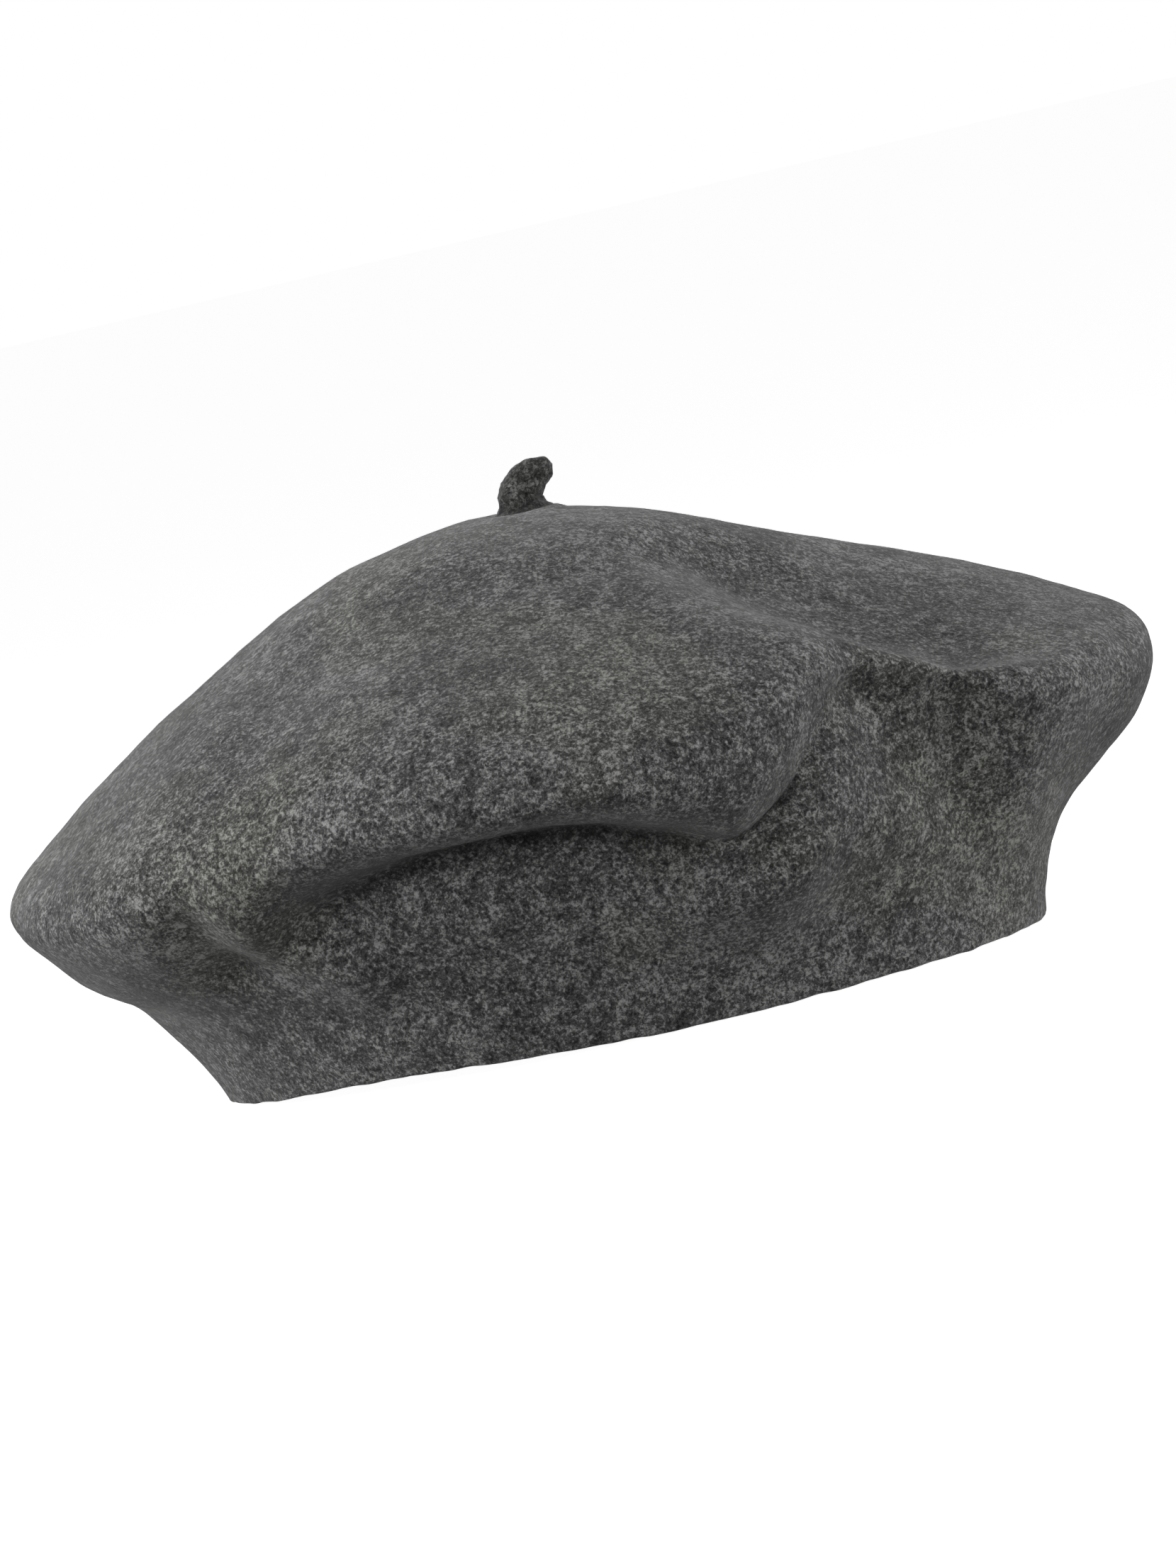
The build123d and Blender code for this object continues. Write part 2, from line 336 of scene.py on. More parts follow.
def lumps(grid, height, size, seed):
    """Smooth noise from -height to height at each point."""
    flat = [noise.noise(Vector(p) / size + Vector((seed, 0, 0))) for p in grid.reshape(-1, 3)]
    return height * np.array(flat).reshape(grid.shape[:-1])


outer = relax(crown_grid(), 3)
stands_out = fold_height(outer) + lumps(outer, *BROAD_LUMPS) + lumps(outer, *FINE_LUMPS)
outer += normals(outer) * stands_out[..., None]
apex = outer[:, -APEX_ROWS:]
outer[:, -APEX_ROWS:] = apex.mean(0, keepdims=True) * (0, 0, 1) + apex * (1, 1, 0)
outer[:, -1] = outer[:, -1].mean(0)
outer[:, :HEM_LUMP_ROWS, 2] += lumps(outer[:, :HEM_LUMP_ROWS] * (1, 1, 0), *HEM_LUMPS)


def crease_depth(grid):
    """How deep each point lies in a crease, 0 near the smoothed surface and 1 well under it: how strongly painted
    shade darkens the felt's colour there.
    """
    under = ((relax(grid, CREASE_SMOOTHING) - grid) * normals(grid)).sum(-1)
    return np.clip((under - CREASE_LEAST) / CREASE_RANGE, 0, 1)


def layer(grid, depth, least, times, held=2):
    """A layer that follows the inside of grid at that depth, smoothed, and nowhere nearer to it than least."""
    out = normals(grid)
    moved = grid - out * depth
    for _ in range(times):
        moved = relax(moved, 1, held)
        gap = ((grid - moved) * out).sum(-1, keepdims=True)
        moved = moved - out * np.maximum(least - gap, 0)
    return moved


def felt_shell():
    """The outside, the fold of the hem, the doubled edge and the inside, as rows from apex to apex."""
    out = normals(outer)
    inside = layer(outer, FELT, FELT - 0.1, 6)
    doubled = outer - out * HEM_DEPTH
    edge = HEM_EDGE_ROW
    up = np.array((0.0, 0.0, 1.0))
    across = doubled[:, 0] - outer[:, 0]
    fold = []
    for angle in np.linspace(0, math.pi, HEM_FOLD_ROWS + 2)[1:-1]:
        share = (1 - math.cos(angle)) / 2
        fold.append(outer[:, 0] + share * across - up * HEM_FOLD_RISE * math.sin(angle))
    lip = [outer[:, edge] - out[:, edge] * depth + up * rise for depth, rise in HEM_EDGE]
    rows = [outer[:, k] for k in range(outer.shape[1] - 1, -1, -1)]
    rows += fold + [doubled[:, k] for k in range(edge)] + lip
    rows += [inside[:, k] for k in range(edge + 1, outer.shape[1])]
    return np.stack(rows, 1)


shell = felt_shell()
# Painted shade: how much the felt's colour is darkened in the creases of the bag.
crease = np.zeros(shell.shape[:2])
crease[:, : outer.shape[1]] = crease_depth(outer)[:, ::-1]
felt = new_object(
    "felt_bag",
    shell.reshape(-1, 3),
    sheet_faces(*shell.shape[:2], close_rows=True),
    slot="felt",
    replaces=["felt_crown"],
    crease=crease,
)


# ---------------------------------------------------------------- the stem
# Along its middle: forward, height, radius. The root spreads into the crown.
STEM_POINTS = [
    (0, 123.2, 8.2), (0, 124.4, 6.6), (0, 125.6, 5.7), (0, 127.0, 5.3), (0.4, 128.3, 5.2), (1.5, 129.7, 5.0),
    (3.0, 131.0, 4.65), (4.5, 131.9, 4.2), (6.0, 132.5, 3.65), (7.3, 132.9, 3.1), (8.5, 133.2, 2.3), (9.4, 133.35, 0),
]
STEM_AROUND, STEM_ROWS = 40, 56
STEM_LUMPS, STEM_FUZZ = (0.09, 2.6, 1.3), (0.05, 1.1, 4.4)  # as shares of the radius
# Painted shade: below this height the stem's colour is darkened, over that distance, where the stem meets the crown.
STEM_SHADE_TOP, STEM_SHADE_DEPTH = 128.5, 4.0  # below this height the stem gets darker, over that distance


def stem_grid():
    """Rings round the stem's middle line, from the root up to the tip."""
    points = np.array(STEM_POINTS, float)
    keys = np.arange(len(points))
    path = hermite(keys, points, np.linspace(0, keys[-1], STEM_ROWS))
    path[-1, 2] = 0
    slope = np.gradient(path[:, :2], axis=0)
    slope /= np.linalg.norm(slope, axis=1, keepdims=True)
    angle = np.linspace(0, 2 * math.pi, STEM_AROUND, endpoint=False)
    across = path[:, None, 2] * np.cos(angle)
    grid = np.stack(
        [
            path[:, None, 0] + across * slope[:, None, 1],
            np.maximum(path[:, None, 2], 0) * np.sin(angle),
            path[:, None, 1] - across * slope[:, None, 0],
        ],
        -1,
    )
    middle = np.stack([path[:, 0], np.zeros(len(path)), path[:, 1]], -1)[:, None]
    bumps = lumps(grid, *STEM_LUMPS) + lumps(grid, *STEM_FUZZ)
    return middle + (grid - middle) * (1 + bumps[..., None])


grid = stem_grid()
# Painted shade at the stem's foot, carried in the crease attribute.
stem_foot_shade = np.clip((STEM_SHADE_TOP - grid[..., 2]) / STEM_SHADE_DEPTH, 0, 1)
stem = new_object(
    "felt_stem",
    grid.reshape(-1, 3),
    sheet_faces(*grid.shape[:2], close_columns=True),
    body=None,
    slot="felt_stem",
    replaces=["stem"],
    crease=stem_foot_shade,
)
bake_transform(stem)

# ---------------------------------------------------------------- the lining
SATIN = 0.5
LINING_DEPTH = 4.7  # how far the satin hangs inside the felt's outside
LINING_APEX_DEPTH, LINING_APEX_RADIUS = 0.9, 15.0  # it hangs this much further from it round the stem's knot
LINING_HEM_DEPTH = 5.1
LINING_NEAREST = 3.6
LINING_SMOOTHING = 24
LINING_FOOT_ROW = 5
RIM_ROW = sum(STEPS[:6])  # the row where the two panels are joined
GATHERS, GATHER_HEIGHT = 46, 1.5
GATHERS_UP, GATHERS_DOWN = 20.0, 9.0  # how many rows the gathers reach above and below the seam
SEAM_HEIGHT, SEAM_ROWS = 0.9, 1.2
PANEL_LAP = 0.2  # the top panel's edge lies over the side panel's


def thick_sheet(name, top_face, out, thickness, mat, **facts):
    """A closed sheet: top_face is a grid of points round the hat, out the way it faces, thickness mm."""
    under = top_face - out * thickness
    ring = np.concatenate([top_face, under[:, ::-1]], 1)
    faces = sheet_faces(*ring.shape[:2], close_rows=True, close_columns=True)
    return new_object(name, ring.reshape(-1, 3), faces, mat, **facts)


def lining_grid():
    """The satin's outside face, smooth, with half as many points round the hat as the felt."""
    away = np.hypot(outer[..., 0], outer[..., 1])[..., None]
    depth = LINING_DEPTH + LINING_APEX_DEPTH * np.exp(-((away / LINING_APEX_RADIUS) ** 2))
    depth[:, : HEM_EDGE_ROW + 3] = LINING_HEM_DEPTH
    hung = layer(outer, depth, LINING_NEAREST, LINING_SMOOTHING, held=HEM_EDGE_ROW + 2)
    return hung[::2]


lining = lining_grid()
lining_out = normals(lining)
turn = np.linspace(-math.pi, math.pi, lining.shape[0], endpoint=False)[:, None]
row = np.arange(lining.shape[1])[None]
reach = np.where(row > RIM_ROW, GATHERS_UP, GATHERS_DOWN)
near_rim = np.exp(-(((row - RIM_ROW) / reach) ** 2))
ripple = 0.5 + 0.5 * np.sin(GATHERS * turn + 2.5 * np.sin(5 * turn) + 1.3 * np.sin(11 * turn))
seam = np.exp(-(((row - RIM_ROW) / SEAM_ROWS) ** 2)) * (0.8 + 0.2 * np.sin(2 * GATHERS * turn))
gathered = GATHER_HEIGHT * ripple * near_rim * (1 - 0.6 * seam) + SEAM_HEIGHT * seam
lining = lining - lining_out * gathered[..., None]


# ---------------------------------------------------------------- materials
def material(name):
    mat = bpy.data.materials.new(name)
    mat.use_nodes = True
    return mat, mat.node_tree, mat.node_tree.nodes["Principled BSDF"]


class Cloth:
    """A material with short ways to write its nodes."""

    def __init__(self, name, roughness, specular, sheen=0.0, sheen_roughness=0.5):
        self.mat, self.tree, self.shader = material(name)
        self.set(self.shader, "Roughness", roughness)
        self.set(self.shader, "Specular IOR Level", specular)
        self.set(self.shader, "Sheen Weight", sheen)
        self.set(self.shader, "Sheen Roughness", sheen_roughness)
        self.place = self.node("TexCoord").outputs["Object"]

    def node(self, kind):
        return self.tree.nodes.new("ShaderNode" + kind)

    def set(self, node, socket, value):
        if isinstance(value, bpy.types.NodeSocket):
            self.tree.links.new(value, node.inputs[socket])
        else:
            node.inputs[socket].default_value = value

    def noise(self, scale, detail=2.0, rough=0.5, distortion=0.0, stretch=(1, 1, 1)):
        mapping = self.node("Mapping")
        self.set(mapping, "Vector", self.place)
        self.set(mapping, "Scale", stretch)
        node = self.node("TexNoise")
        self.set(node, "Vector", mapping.outputs["Vector"])
        self.set(node, "Scale", scale)
        self.set(node, "Detail", detail)
        self.set(node, "Roughness", rough)
        self.set(node, "Distortion", distortion)
        return node.outputs["Fac"]

    def wave(self, scale, direction, distortion=0.0):
        node = self.node("TexWave")
        node.bands_direction = direction
        self.set(node, "Vector", self.place)
        self.set(node, "Scale", scale)
        self.set(node, "Distortion", distortion)
        return node.outputs["Fac"]

    def math(self, kind, a, b):
        node = self.node("Math")
        node.operation = kind
        self.set(node, 0, a)
        self.set(node, 1, b)
        return node.outputs[0]

    def add(self, first, *others):
        for other in others:
            first = self.math("ADD", first, other)
        return first

    def times(self, a, b):
        return self.math("MULTIPLY", a, b)

    def around(self, value, by):
        """value, from 0 to 1, as a swing of by times its distance from one half."""
        return self.times(self.math("SUBTRACT", value, 0.5), by)

    def ramp(self, value, *stops):
        node = self.node("ValToRGB")
        elements = node.color_ramp.elements
        while len(elements) < len(stops):
            elements.new(0.5)
        for element, (position, colour) in zip(elements, stops):
            element.position = position
            element.color = (*colour, 1)
        self.set(node, "Fac", value)
        return node.outputs["Color"]

    def mix(self, share, a, b, kind="MIX"):
        node = self.node("MixRGB")
        node.blend_type = kind
        self.set(node, "Fac", share)
        self.set(node, "Color1", a if isinstance(a, bpy.types.NodeSocket) else (*a, 1))
        self.set(node, "Color2", b if isinstance(b, bpy.types.NodeSocket) else (*b, 1))
        return node.outputs["Color"]

    def bump(self, height, distance, strength=1.0):
        node = self.node("Bump")
        self.set(node, "Strength", strength)
        self.set(node, "Distance", distance)
        self.set(node, "Height", height)
        self.set(self.shader, "Normal", node.outputs["Normal"])

    def colour(self, value):
        self.set(self.shader, "Base Color", value)


def felt_material(name, shade):
    """Matted wool in dark, grey and light fibres, with painted shade that darkens the colour where the crease
    attribute is high. shade is how light the whole is, 1 for the bag.
    """
    wool = Cloth(name, 0.95, 0.08, sheen=0.25, sheen_roughness=0.45)
    grain = wool.noise(900, 4, 0.66, 0.45)
    curl = wool.noise(1700, 2, 0.6, 0.9)
    fibre = wool.add(wool.times(grain, 0.6), wool.times(curl, 0.4))
    tufts = wool.around(wool.noise(230, 4, 0.62, 0.6), 0.30)
    clouds = wool.around(wool.noise(30, 3, 0.55, 0.3), 0.14)
    fibre_greys = (0.016, 0.016, 0.017), (0.088, 0.088, 0.087), (0.36, 0.36, 0.355)
    dark, middle, light = ([shade * c for c in colour] for colour in fibre_greys)
    grey = wool.ramp(wool.add(fibre, wool.add(tufts, clouds)), (0.37, dark), (0.50, middle), (0.63, light))
    olive = wool.ramp(wool.noise(17, 3, 0.6, 0.4), (0.52, (0, 0, 0)), (0.66, (1, 1, 1)))
    tinted = wool.mix(wool.times(olive, 0.35), grey, wool.mix(1.0, grey, (1.05, 1.06, 0.86), "MULTIPLY"))
    # Painted shade: the colour is darkened by up to 55% in creases and at the stem's foot, where shade falls.
    painted_crease_shade = wool.node("Attribute")
    painted_crease_shade.attribute_name = "crease"
    shadowed = wool.math("SUBTRACT", 1.0, wool.times(painted_crease_shade.outputs["Fac"], 0.55))
    wool.colour(wool.mix(1.0, tinted, shadowed, "MULTIPLY"))
    wool.bump(fibre, 0.0006, 0.7)
    return wool.mat


def leather_material():
    """Vegetable-tanned leather: a pebbled grain, small creases and wear along the way."""
    hide = Cloth("sweatband_leather", 0.5, 0.4)
    voronoi = hide.node("TexVoronoi")
    hide.set(voronoi, "Vector", hide.place)
    hide.set(voronoi, "Scale", 1100.0)
    voronoi.feature = "SMOOTH_F1"
    pebble = voronoi.outputs["Distance"]
    pores = hide.noise(1500, 3, 0.6, 0.4)
    creases = hide.noise(170, 4, 0.62, 0.8)
    wear = hide.noise(24, 3, 0.6, 0.3)
    tone = hide.add(creases, hide.add(hide.around(wear, 0.6), hide.around(pebble, -0.25)))
    dark, brown, worn = (0.030, 0.015, 0.009), (0.066, 0.033, 0.018), (0.115, 0.062, 0.034)
    hide.colour(hide.ramp(tone, (0.30, dark), (0.55, brown), (0.78, worn)))
    hide.set(hide.shader, "Roughness", hide.add(hide.around(wear, 0.3), 0.46))
    grain = hide.add(hide.times(pebble, 1.1), hide.add(hide.times(pores, 0.4), hide.times(creases, 0.5)))
    hide.bump(grain, 0.00035, 0.8)
    return hide.mat


def satin_material():
    """Black-grey satin with a fine upright warp, a few thicker yarns and some wear."""
    satin = Cloth("lining_satin", 0.36, 0.5, sheen=0.25, sheen_roughness=0.3)
    warp = satin.noise(3000, 2, 0.5, stretch=(1, 1, 0.12))
    slub = satin.noise(420, 3, 0.6, 0.4, stretch=(1, 1, 0.3))
    wear = satin.noise(45, 2, 0.5)
    uneven = satin.add(satin.around(slub, 0.5), satin.add(satin.around(wear, 0.15), 0.5))
    tone = satin.add(satin.around(warp, 0.35), uneven)
    satin.colour(satin.ramp(tone, (0.3, (0.030, 0.030, 0.034)), (0.7, (0.070, 0.070, 0.077))))
    satin.set(satin.shader, "Roughness", satin.add(satin.around(warp, 0.25), 0.36))
    satin.set(satin.shader, "Anisotropic", 0.5)
    satin.bump(satin.add(warp, satin.times(slub, 0.6)), 0.00008, 0.7)
    return satin.mat


def ribbon_material():
    """Black grosgrain, ribbed across its length."""
    ribbon = Cloth("ribbon_grosgrain", 0.55, 0.35, sheen=0.2)
    ribs = ribbon.wave(420, "Z", 0.3)
    tone = ribbon.add(ribbon.times(ribs, 0.6), ribbon.times(ribbon.noise(160, 3, 0.6), 0.4))
    ribbon.colour(ribbon.ramp(tone, (0.2, (0.008, 0.008, 0.009)), (0.8, (0.030, 0.030, 0.033))))
    ribbon.bump(ribs, 0.00015, 0.8)
    return ribbon.mat


def tape_material():
    """Off-white woven tape, a little soiled."""
    tape = Cloth("label_tape", 0.7, 0.3, sheen=0.2)
    weave = tape.times(tape.wave(1100, "X"), tape.wave(1100, "Z"))
    tone = tape.add(weave, tape.around(tape.noise(90, 3, 0.6), 0.5))
    tape.colour(tape.ramp(tone, (0.0, (0.50, 0.49, 0.45)), (0.8, (0.78, 0.77, 0.73))))
    tape.bump(weave, 0.00012, 0.8)
    return tape.mat


def thread_material():
    """Dull grey-brown twisted thread."""
    thread = Cloth("thread", 0.6, 0.3, sheen=0.2)
    twist = thread.noise(2400, 3, 0.6, 0.8)
    thread.colour(thread.ramp(twist, (0.35, (0.060, 0.056, 0.050)), (0.65, (0.19, 0.18, 0.165))))
    thread.bump(twist, 0.0001, 0.8)
    return thread.mat


felt_grey = felt_material("felt_grey", 1.0)
felt_dark = felt_material("felt_stem", 0.6)
leather = leather_material()
satin = satin_material()
ribbon = ribbon_material()
tape = tape_material()
thread = thread_material()
felt.data.materials.append(felt_grey)
stem.data.materials.append(felt_dark)

side_rows = slice(LINING_FOOT_ROW, RIM_ROW + 1)
lining_side = thick_sheet(
    "lining_side_panel",
    lining[:, side_rows],
    lining_out[:, side_rows],
    SATIN,
    satin,
    slot="lining_satin",
    replaces=["lining_side"],
)
top_out = lining_out[:, RIM_ROW:]
top_above = lining[:, RIM_ROW:] - top_out * PANEL_LAP
top_sheet = np.concatenate([top_above[:, ::-1], top_above - top_out * SATIN], 1)
lining_top = new_object(
    "lining_top_panel",
    top_sheet.reshape(-1, 3),
    sheet_faces(*top_sheet.shape[:2], close_rows=True),
    satin,
    slot="lining_satin",
    replaces=["lining_top"],
)

# ---------------------------------------------------------------- the sweatband
BAND_FOOT, BAND_TOP = 1.0, 31.0
BAND_INSIDE_X, BAND_INSIDE_Y = 96.4, 80.4
LEATHER = 1.0
BAND_SLIT = 0.2  # half the gap between the ends of the strip, at the back
BAND_BEVEL = 0.4  # height of the rounding of its upper and lower edge
BAND_EDGE = 0.35  # how thick it is right at those edges
BAND_FREE = 0.35  # above this share of its height it isn't held by the stitches
BAND_AROUND, BAND_ROWS = 420, 22


def sweatband_grid():
    """The leather's cross-section, with rounded edges and a free top that waves a little, carried round the hat."""
    slit = BAND_SLIT / BAND_INSIDE_X
    azimuth = np.linspace(-math.pi + slit, math.pi - slit, BAND_AROUND)
    between = np.linspace(BAND_FOOT + BAND_BEVEL, BAND_TOP - BAND_BEVEL, BAND_ROWS)
    height = np.concatenate([[BAND_FOOT], between, [BAND_TOP]])
    lift = hem_lift(azimuth)
    share = (height - BAND_FOOT) / (BAND_TOP - BAND_FOOT)
    thick = np.full_like(height, LEATHER)
    thick[[0, -1]] = BAND_EDGE
    free = np.clip((share - BAND_FREE) / (1 - BAND_FREE), 0, 1) ** 2
    wave = 0.9 + 0.55 * np.sin(7 * azimuth + 0.8) + 0.4 * np.sin(16 * azimuth + 2.0)
    lean = free[None] * wave[:, None]
    ring = []
    for face in (1, -1):  # up the outside of the leather, then down its inside
        depth = (LEATHER / 2 + face * thick / 2)[::face]
        rows = height[::face]
        leaning = lean[:, ::face]
        x = (BAND_INSIDE_X + depth[None] + leaning) * np.cos(azimuth)[:, None]
        y = (BAND_INSIDE_Y + depth[None] + leaning) * np.sin(azimuth)[:, None]
        above = (BAND_TOP - rows) / (BAND_TOP - BAND_FOOT)
        ring.append(np.stack([x, y, rows[None] + lift[:, None] * above[None]], -1))
    return np.concatenate(ring, 1)


grid = sweatband_grid()
columns = grid.shape[1]
band_faces = sheet_faces(*grid.shape[:2], close_columns=True)
half = columns // 2
for end in (0, (BAND_AROUND - 1) * columns):
    band_faces += [(end + k, end + k + 1, end + columns - 2 - k, end + columns - 1 - k) for k in range(half - 1)]
new_object(
    "sweatband_strip", grid.reshape(-1, 3), band_faces, leather, slot="sweatband_leather", replaces=["sweatband"]
)

# ---------------------------------------------------------------- the bow at the back
RIBBON_WIDTH = 7.0
RIBBON = 0.4
KNOT_OVERHANG = 0.5  # how far the knot reaches past the ribbon's edges
KNOT_SQUARE = 3.2  # 2 is a round knot, higher is squarer
knot_low, knot_high = cad_box_mm("bow_knot")
BOW = (knot_low + knot_high) / 2
BOW_HALF_DEPTH = (knot_high[0] - knot_low[0]) / 2
BOW_HALF_KNOT = (knot_high[1] - knot_low[1]) / 2
loops_low, loops_high = cad_box_mm("bow_loops")
BOW_REACH = loops_high[1] - BOW[1]
LOOP_ROWS = 70
# One loop seen from above: share of its reach, share of half its depth
LOOP_POINTS = [
    (0.06, 0.15), (0.3, 0.45), (0.6, 0.85), (0.85, 0.95), (0.985, 0.45),
    (1.0, -0.2), (0.93, -0.72), (0.7, -0.92), (0.4, -0.72), (0.12, -0.25),
]
# The ribbon's cross-section: across its width, from -1 to 1, and through its thickness
RIBBON_LEVELS = np.array([-1, -1, -0.96, -0.5, 0, 0.5, 0.96, 1, 1, 0.96, 0.5, 0, -0.5, -0.96])
RIBBON_LIES = np.array([-0.3, 0.3, 0.5, 0.5, 0.5, 0.5, 0.5, 0.3, -0.3, -0.5, -0.5, -0.5, -0.5, -0.5]) * RIBBON
RIBBON_CUP = 0.35  # how far the ribbon's edges curl over


def ribbon_loop(side):
    """One flattened loop of ribbon, narrower where the knot pinches it. side is 1 or -1."""
    points = np.array(LOOP_POINTS)
    path = hermite(np.arange(len(points)), points, np.linspace(0, len(points) - 1, LOOP_ROWS))
    y = BOW[1] + side * path[:, 0] * BOW_REACH
    x = BOW[0] + path[:, 1] * (BOW_HALF_DEPTH - RIBBON / 2)
    tangent = np.stack([np.gradient(x), np.gradient(y)], 1)
    tangent /= np.linalg.norm(tangent, axis=1, keepdims=True)
    across = np.stack([tangent[:, 1], -tangent[:, 0]], 1)
    half_width = RIBBON_WIDTH / 2 * (0.62 + 0.38 * np.clip(path[:, 0] / 0.5, 0, 1) ** 0.7)
    curl = np.sin(math.pi * np.clip(path[:, 0], 0, 1))[:, None]
    through = RIBBON_LIES[None] - RIBBON_CUP * (RIBBON_LEVELS**2)[None] * curl
    px = x[:, None] + across[:, :1] * through
    py = y[:, None] + across[:, 1:] * through
    pz = BOW[2] + half_width[:, None] * RIBBON_LEVELS[None]
    return np.stack([px, py, pz], -1)


verts, faces = [], []
for side in (-1, 1):
    grid = ribbon_loop(side)
    rows, columns = grid.shape[:2]
    start = sum(len(v) for v in verts)
    faces += [[start + i for i in f] for f in sheet_faces(rows, columns, close_columns=True)]
    for ring_start in (start, start + (rows - 1) * columns):
        faces.append([ring_start + i for i in range(columns)])
    verts.append(grid.reshape(-1, 3))
new_object("bow_loops_ribbon", np.concatenate(verts), faces, ribbon, slot="ribbon", replaces=["bow_loops"])


def bow_knot_grid():
    """The short ribbon wrapped round the middle of the bow: a pinched barrel with two soft pleats."""
    levels = np.linspace(-1, 1, 26)
    angles = np.linspace(0, 2 * math.pi, 48, endpoint=False)
    level, angle = np.meshgrid(levels, angles, indexing="ij")
    body = np.clip(1 - np.abs(level) ** 6, 0, 1) ** 0.35
    pleat = 1 - 0.06 * (0.5 + 0.5 * np.cos(5 * angle + 1.2 * level)) - 0.05 * (1 - level**2)
    squared = (np.abs(np.cos(angle)) ** KNOT_SQUARE + np.abs(np.sin(angle)) ** KNOT_SQUARE) ** (-1 / KNOT_SQUARE)
    x = BOW[0] + BOW_HALF_DEPTH * body * pleat * squared * np.cos(angle)
    y = BOW[1] + BOW_HALF_KNOT * body * pleat * squared * np.sin(angle)
    return np.stack([x, y, BOW[2] + (RIBBON_WIDTH / 2 + KNOT_OVERHANG) * level], -1)


grid = bow_knot_grid()
faces = sheet_faces(*grid.shape[:2], close_columns=True)
new_object("bow_knot_ribbon", grid.reshape(-1, 3), faces, ribbon, slot="ribbon", replaces=["bow_knot"])

# ---------------------------------------------------------------- the care label
flap_low, flap_high = cad_box_mm("label_flap")
margin_low, margin_high = cad_box_mm("label_margin")
LABEL_FOLD = (margin_low[2] + flap_high[2]) / 2
LABEL_INSET = 0.04


def label_grid():
    """A blank woven tape: its front, then its back, each a grid from the top down."""
    half_width = (flap_high[0] - flap_low[0]) / 2
    across = np.linspace(-half_width, half_width, 40)
    sewn = np.linspace(margin_high[2], LABEL_FOLD + 1.2, 8)
    bend = np.linspace(LABEL_FOLD + 1.0, LABEL_FOLD - 1.0, 13)
    loose = np.linspace(LABEL_FOLD - 1.3, flap_low[2], 40)
    x, z = np.meshgrid(across, np.concatenate([sewn, bend, loose]))
    hang = np.clip((LABEL_FOLD - z) / (LABEL_FOLD - flap_low[2]), 0, 1)
    ease = hang**2 * (0.9 + 0.35 * np.sin(x / 5.5 + 0.6))  # the free end stands off the band a little
    front = np.stack([x, margin_low[1] + LABEL_INSET - ease, z], -1)
    back = np.stack([x, margin_high[1] - LABEL_INSET - ease, z], -1)
    return np.concatenate([front, back[::-1]], 0)


grid = label_grid()
rows, columns = grid.shape[:2]
faces = sheet_faces(rows, columns, close_rows=True)
for column in (0, columns - 1):
    line = [r * columns + column for r in range(rows)]
    faces += [(line[k], line[k + 1], line[rows - 2 - k], line[rows - 1 - k]) for k in range(rows // 2 - 1)]
label = new_object(
    "label_tape",
    grid.reshape(-1, 3),
    faces,
    tape,
    body=None,
    slot="label_tape",
    replaces=["label_margin", "label_flap"],
)
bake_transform(label)

# ---------------------------------------------------------------- CAD pieces that stay as they are
for node, mat in (
    ("stem_knot", felt_dark),
    ("sweatband_stitches", thread),
    ("lining_stitches", thread),
    ("label_stitches", thread),
):
    piece = bpy.data.objects[node]
    piece.data.materials.clear()
    piece.data.materials.append(mat)

# ---------------------------------------------------------------- stage
LIGHT_SIZE = 0.8
LIT_POINT = Vector((0, 0, 0.06))
STAGE_RADIUS = 12
# Each light's name, place and power
LIGHTS = (
    ("left_softbox", (-1.52, 0.0, 0.54), 17.2),
    ("left_fill", (-1.25, -0.85, 0.12), 2.2),
    ("right_softbox", (1.6, 0.0, 0.13), 9.8),
    ("right_back_softbox", (1.44, 0.67, 0.27), 4.7),
    ("back_fill", (-0.5, 1.45, 0.35), 2.6),
    ("front_softbox", (0, -1.57, 0.38), 9.3),
    ("top_softbox", (0, -0.68, 1.5), 6.2),
)
SKY, GROUND = 0.02, 0.11  # how bright the surroundings are above and below the horizon
HORIZON = 0.15  # how far from level the one turns into the other
WHITE = (1, 1, 1, 1)


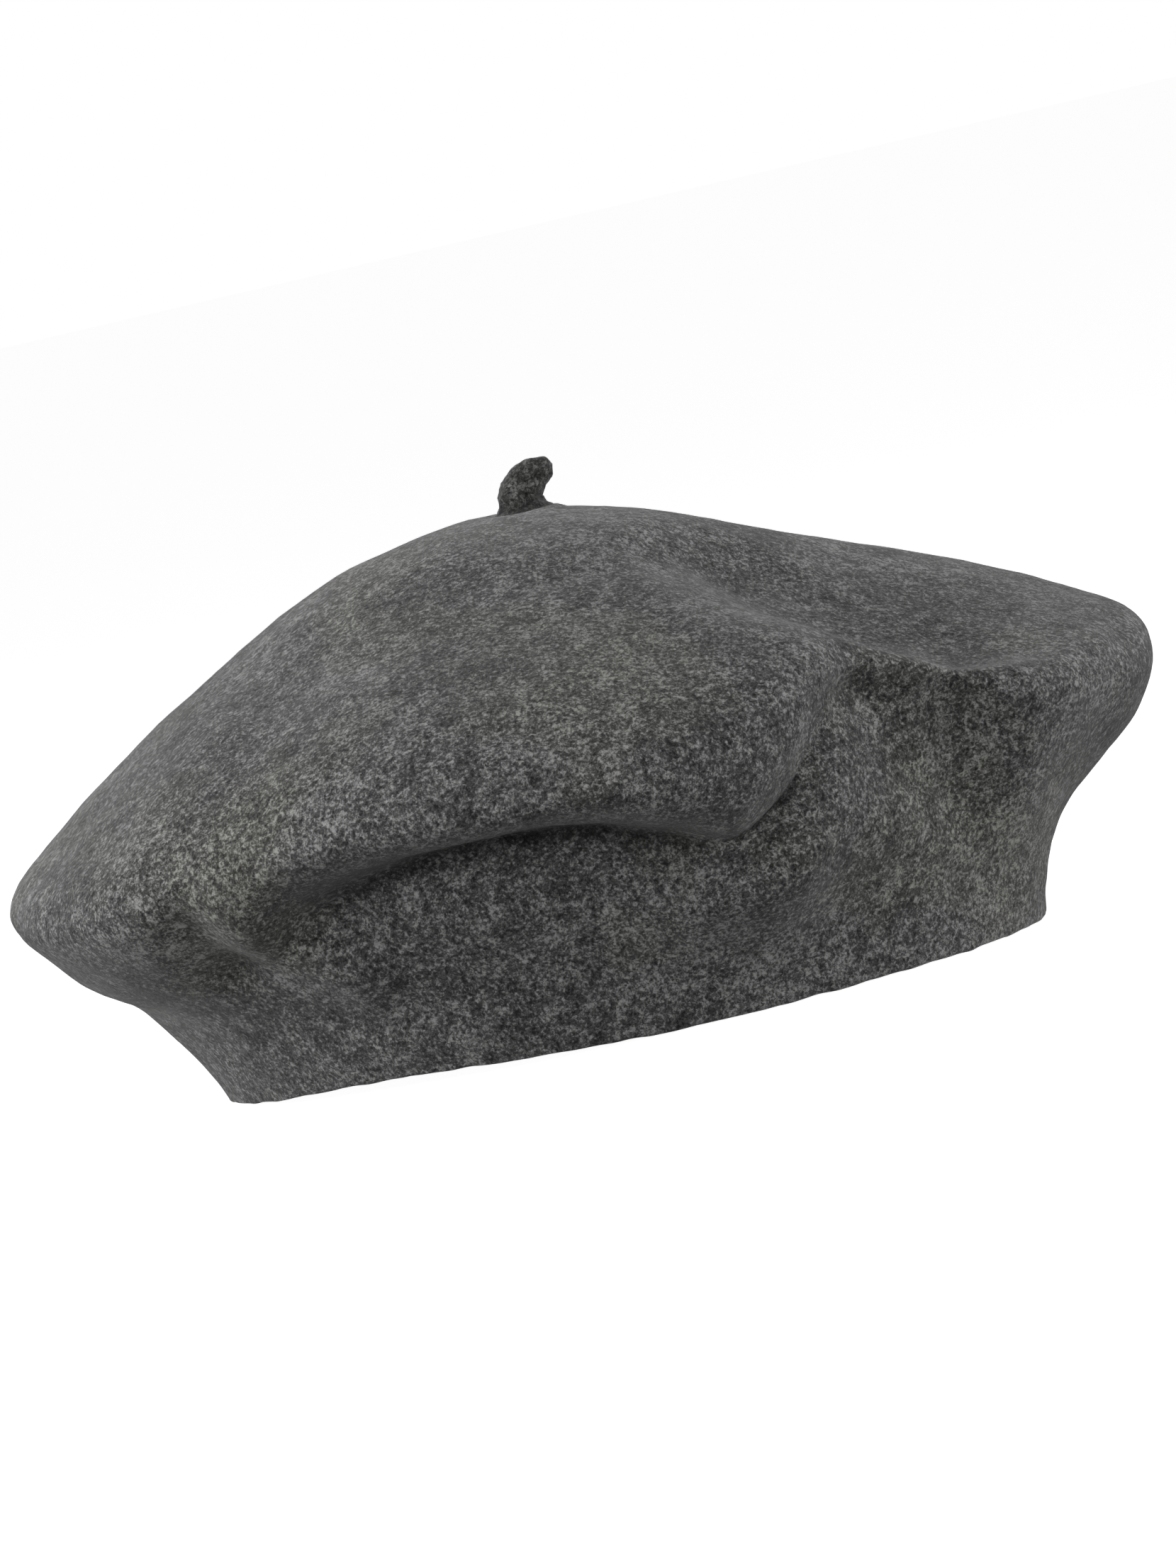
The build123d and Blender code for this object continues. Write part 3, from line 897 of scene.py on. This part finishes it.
def area_light(name, place, power):
    """A round soft light that looks at the hat."""
    data = bpy.data.lights.new(name, "AREA")
    data.shape = "DISK"
    data.size = LIGHT_SIZE
    data.energy = power
    lamp = bpy.data.objects.new(name, data)
    scene.collection.objects.link(lamp)
    lamp.location = place
    lamp.rotation_euler = (LIT_POINT - Vector(place)).to_track_quat("-Z", "Y").to_euler()


for light in LIGHTS:
    area_light(*light)

world = bpy.data.worlds.new("world")
scene.world = world
world.use_nodes = True
sky_tree = world.node_tree
direction = sky_tree.nodes.new("ShaderNodeTexCoord")
split = sky_tree.nodes.new("ShaderNodeSeparateXYZ")
sky_tree.links.new(direction.outputs["Generated"], split.inputs[0])
level = sky_tree.nodes.new("ShaderNodeMapRange")
sky_tree.links.new(split.outputs["Z"], level.inputs["Value"])
for socket, value in (("From Min", -HORIZON), ("From Max", HORIZON), ("To Min", GROUND), ("To Max", SKY)):
    level.inputs[socket].default_value = value
background = sky_tree.nodes["Background"]
background.inputs["Color"].default_value = WHITE
sky_tree.links.new(level.outputs["Result"], background.inputs["Strength"])


def stage_material(name, albedo, glow):
    """A dull white that also gives off light of its own."""
    mat, _, shader = material(name)
    shader.inputs["Base Color"].default_value = (albedo, albedo, albedo, 1)
    shader.inputs["Roughness"].default_value = 1.0
    shader.inputs["Specular IOR Level"].default_value = 0.0
    shader.inputs["Emission Color"].default_value = WHITE
    shader.inputs["Emission Strength"].default_value = glow
    return mat


bpy.ops.mesh.primitive_circle_add(vertices=96, radius=STAGE_RADIUS, fill_type="NGON", location=(0, 0, 0))
floor = bpy.context.object
floor.name = "floor"
floor.data.materials.append(stage_material("floor_white", 0.45, 0.97))
bpy.ops.mesh.primitive_uv_sphere_add(segments=48, ring_count=24, radius=STAGE_RADIUS)
backdrop = bpy.context.object
backdrop.name = "backdrop"
backdrop.data.materials.append(stage_material("backdrop_white", 0.0, 1.0))
for piece in (floor, backdrop):
    piece.visible_diffuse = False
    piece.visible_glossy = False
    piece.visible_shadow = False
